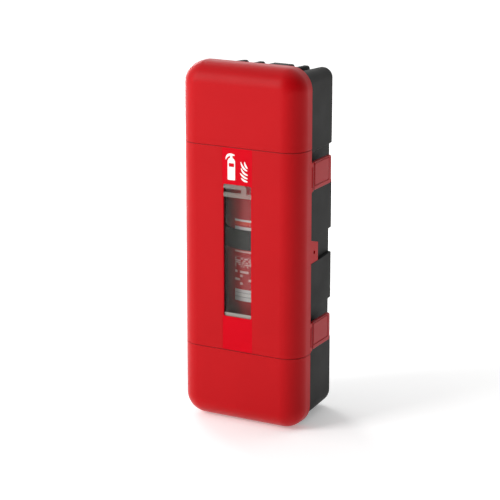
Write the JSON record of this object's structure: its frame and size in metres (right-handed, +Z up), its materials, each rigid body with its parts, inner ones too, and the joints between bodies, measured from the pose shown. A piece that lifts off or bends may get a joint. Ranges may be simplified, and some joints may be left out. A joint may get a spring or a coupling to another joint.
{
  "type": "fire extinguisher cabinet",
  "caption": "Wall or vehicle cabinet that holds a powder extinguisher: a hinged moulded cover with a tall window, side latches, a stepped case, and a strap that holds the bottle.",
  "frame": {"origin": "middle of the cabinet's footprint, on the surface that it stands on", "axes": "+X to the right, +Y to the back (the mounting face), +Z up; the window faces -Y"},
  "size_m": [0.24, 0.176, 0.65],
  "materials": {
    "red_cover_plastic": "satin gloss, moulded",
    "red_latch_plastic": "satin, moulded",
    "dark_case_plastic": "matte, moulded",
    "clear_pane": "clear, polished",
    "retainer_plastic": "matte",
    "label_red_film": "smooth printed film",
    "white_print": "printed",
    "zinc_screw_steel": "zinc plated",
    "stainless_pin": "polished stainless",
    "base_rubber": "matte",
    "saddle_plastic": "matte",
    "strap_rubber": "matte, ribbed",
    "buckle_steel": "plated",
    "bottle_paint": "gloss powder coat",
    "powder": "loose powder",
    "tube_plastic": "plain",
    "skirt_plastic": "matte, moulded",
    "bottle_label_film": "printed film",
    "valve_brass": "machined",
    "valve_chrome": "plated",
    "spring_steel": "drawn wire",
    "handle_paint": "powder coat",
    "gauge_white": "printed dial",
    "needle_black": "matte",
    "gauge_lens": "clear"
  },
  "bodies": {
    "case": {"rear_shell": "dark_case_plastic", "hinge_pins": "stainless_pin", "base_pad": "base_rubber", "lower_saddle": "saddle_plastic", "upper_saddle": "saddle_plastic", "saddle_screws": "zinc_screw_steel", "strap_anchors": "saddle_plastic", "retaining_strap": "strap_rubber", "buckle_frame": "buckle_steel", "buckle_pin": "stainless_pin", "cylinder": "bottle_paint", "powder_charge": "powder", "dip_tube": "tube_plastic", "base_skirt": "skirt_plastic", "cylinder_label": "bottle_label_film", "neck_ring": "valve_brass", "valve_body": "valve_brass", "hose_outlet": "valve_brass", "stem_spring": "spring_steel", "carry_handle": "handle_paint", "lever_rivet": "stainless_pin", "handle_rivet": "stainless_pin", "gauge_body": "valve_chrome", "gauge_face": "gauge_white", "gauge_lens": "gauge_lens"},
    "door": {"upper_cover": "red_cover_plastic", "middle_cover": "red_cover_plastic", "lower_cover": "red_cover_plastic", "cover_screws": "zinc_screw_steel", "window_pane": "clear_pane", "window_retainer": "retainer_plastic", "pane_screws": "zinc_screw_steel", "front_label": "label_red_film", "extinguisher_sign": "white_print", "flame_sign": "white_print", "latch_pins": "stainless_pin"},
    "upper_latch": {"upper_latch": "red_latch_plastic"},
    "lower_latch": {"lower_latch": "red_latch_plastic"},
    "buckle_lever": {"buckle_lever": "buckle_steel"},
    "squeeze_lever": {"squeeze_lever": "handle_paint"},
    "valve_stem": {"valve_stem": "stainless_pin"},
    "safety_pin": {"safety_pin": "stainless_pin"},
    "pull_ring": {"pull_ring": "stainless_pin"},
    "gauge_needle": {"gauge_needle": "needle_black"}
  },
  "joints": [
    {"name": "door_hinge", "type": "hinge", "parent": "case", "child": "door", "pos_m": [-0.115, -0.03, 0.325], "axis": [0, 0, -1], "range_deg": [0, 120]},
    {"name": "upper_latch_hinge", "type": "hinge", "parent": "door", "child": "upper_latch", "pos_m": [0.111, -0.024, 0.4555], "axis": [0, 0, -1], "range_deg": [0, 80]},
    {"name": "lower_latch_hinge", "type": "hinge", "parent": "door", "child": "lower_latch", "pos_m": [0.111, -0.024, 0.164], "axis": [0, 0, -1], "range_deg": [0, 80]},
    {"name": "buckle_lever_hinge", "type": "hinge", "parent": "case", "child": "buckle_lever", "pos_m": [0.04752, -0.0539, 0.335], "axis": [0, 0, -1], "range_deg": [0, 85]},
    {"name": "squeeze_lever_hinge", "type": "hinge", "parent": "case", "child": "squeeze_lever", "pos_m": [0.008, 0.012, 0.561], "axis": [0, -1, 0], "range_deg": [0, 15], "stiffness_Nm_per_rad": 1.5, "springref_deg": -17.19},
    {"name": "valve_stem_slide", "type": "slide", "parent": "case", "child": "valve_stem", "axis": [0, 0, -1], "range_m": [0, 0.0022], "stiffness_N_per_m": 300, "springref_m": -0.003, "deforming": ["stem_spring"]},
    {"name": "safety_pin_slide", "type": "slide", "parent": "case", "child": "safety_pin", "axis": [0, -1, 0], "range_m": [0, 0.04]},
    {"name": "pull_ring_swing", "type": "hinge", "parent": "safety_pin", "child": "pull_ring", "pos_m": [-0.026, -0.007, 0.561], "axis": [-1, 0, 0], "range_deg": [0, 85]},
    {"name": "gauge_needle_spin", "type": "hinge", "parent": "case", "child": "gauge_needle", "pos_m": [0, -0.013, 0.53], "axis": [0, 1, 0], "range_deg": [-100, 100], "stiffness_Nm_per_rad": 0.0001}
  ],
  "couplings": [
    {"joint": "valve_stem_slide", "follows": "squeeze_lever_hinge", "m_per_rad": 0.008}
  ]
}
